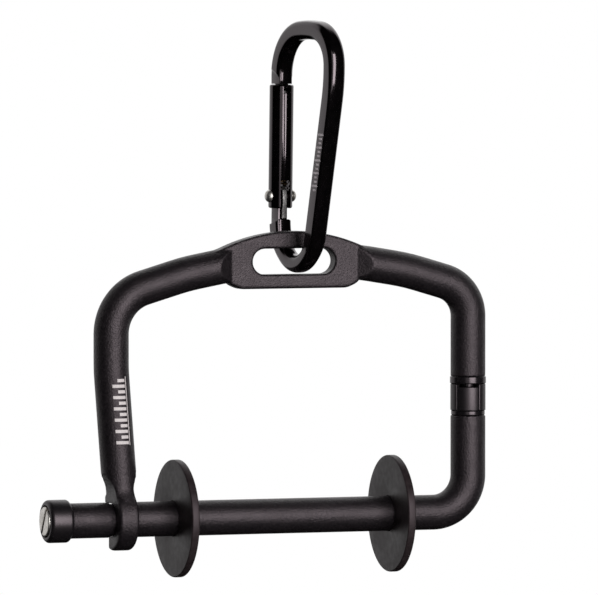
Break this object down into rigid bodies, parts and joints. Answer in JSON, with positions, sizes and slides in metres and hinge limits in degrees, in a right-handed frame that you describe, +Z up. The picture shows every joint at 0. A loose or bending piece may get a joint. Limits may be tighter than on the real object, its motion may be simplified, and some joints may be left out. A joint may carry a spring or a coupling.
{
  "type": "line-spool holder on a carabiner",
  "caption": "Pocket holder for small fishing-line spools: a bent-rod frame on a mini carabiner, with a swing-out lower bar and two sliding discs.",
  "frame": {"origin": "inside top of the carabiner's bow, where the holder hangs", "axes": "+Z up along the carabiner, +X along the spool bar towards the swivel leg, +Y to the rear, where the hook is open"},
  "size_m": [0.0936, 0.0293, 0.1105],
  "materials": {
    "blasted_black": "bead-blasted, black anodised, fine matt grain",
    "satin_black": "turned, black anodised, satin",
    "polished_black": "turned and polished, black anodised",
    "gloss_black": "tumbled and dyed gloss black",
    "black_rubber": "smooth satin black rubber",
    "nickel": "bright nickel plate",
    "steel": "plain stainless steel",
    "spring_bronze": "drawn bronze-coloured spring wire"
  },
  "bodies": {
    "carabiner": {"carabiner_body": "gloss_black", "gate_rivet": "nickel"},
    "gate": {"carabiner_gate": "gloss_black", "gate_spring": "spring_bronze"},
    "link": {"gate_link": "steel"},
    "frame": {"upper_frame": "blasted_black", "swivel_collar": "polished_black", "swivel_sleeve": "satin_black", "swivel_key": "satin_black", "drag_spring": "steel", "drag_ball": "steel"},
    "arm": {"lower_arm": "blasted_black", "swivel_spindle": "satin_black", "thrust_washer": "polished_black", "end_cap": "satin_black", "end_screw": "nickel"},
    "left_disc": {"spool_disc_left": "black_rubber"},
    "right_disc": {"spool_disc_right": "black_rubber"}
  },
  "joints": [
    {"name": "frame_swing", "type": "hinge", "parent": "carabiner", "child": "frame", "pos_m": [-0.00082, 0.00493, -0.04485], "axis": [-0.165, 0.9863, 0], "range_deg": [-60, 60]},
    {"name": "arm_swing", "type": "hinge", "parent": "frame", "child": "arm", "pos_m": [0.03613, 0.00646, -0.09515], "axis": [0, 0, -1], "range_deg": [0, 180]},
    {"name": "left_disc_slide", "type": "slide", "parent": "arm", "child": "left_disc", "axis": [1, 0, 0], "range_m": [-0.0075, 0.0218]},
    {"name": "right_disc_slide", "type": "slide", "parent": "arm", "child": "right_disc", "axis": [1, 0, 0], "range_m": [-0.0218, 0.008]},
    {"name": "gate_open", "type": "hinge", "parent": "carabiner", "child": "gate", "pos_m": [-0.00199, 0.01191, -0.0315], "axis": [0.9863, 0.165, 0], "range_deg": [0, 25], "stiffness_Nm_per_rad": 0.05, "deforming": ["gate_spring"]},
    {"name": "link_rock", "type": "hinge", "parent": "carabiner", "child": "link", "pos_m": [-0.00177, 0.01058, -0.03588], "axis": [0.9863, 0.165, 0], "range_deg": [0, 8.5]}
  ],
  "couplings": [
    {"joint": "link_rock", "follows": "gate_open", "ratio": 0.33}
  ]
}
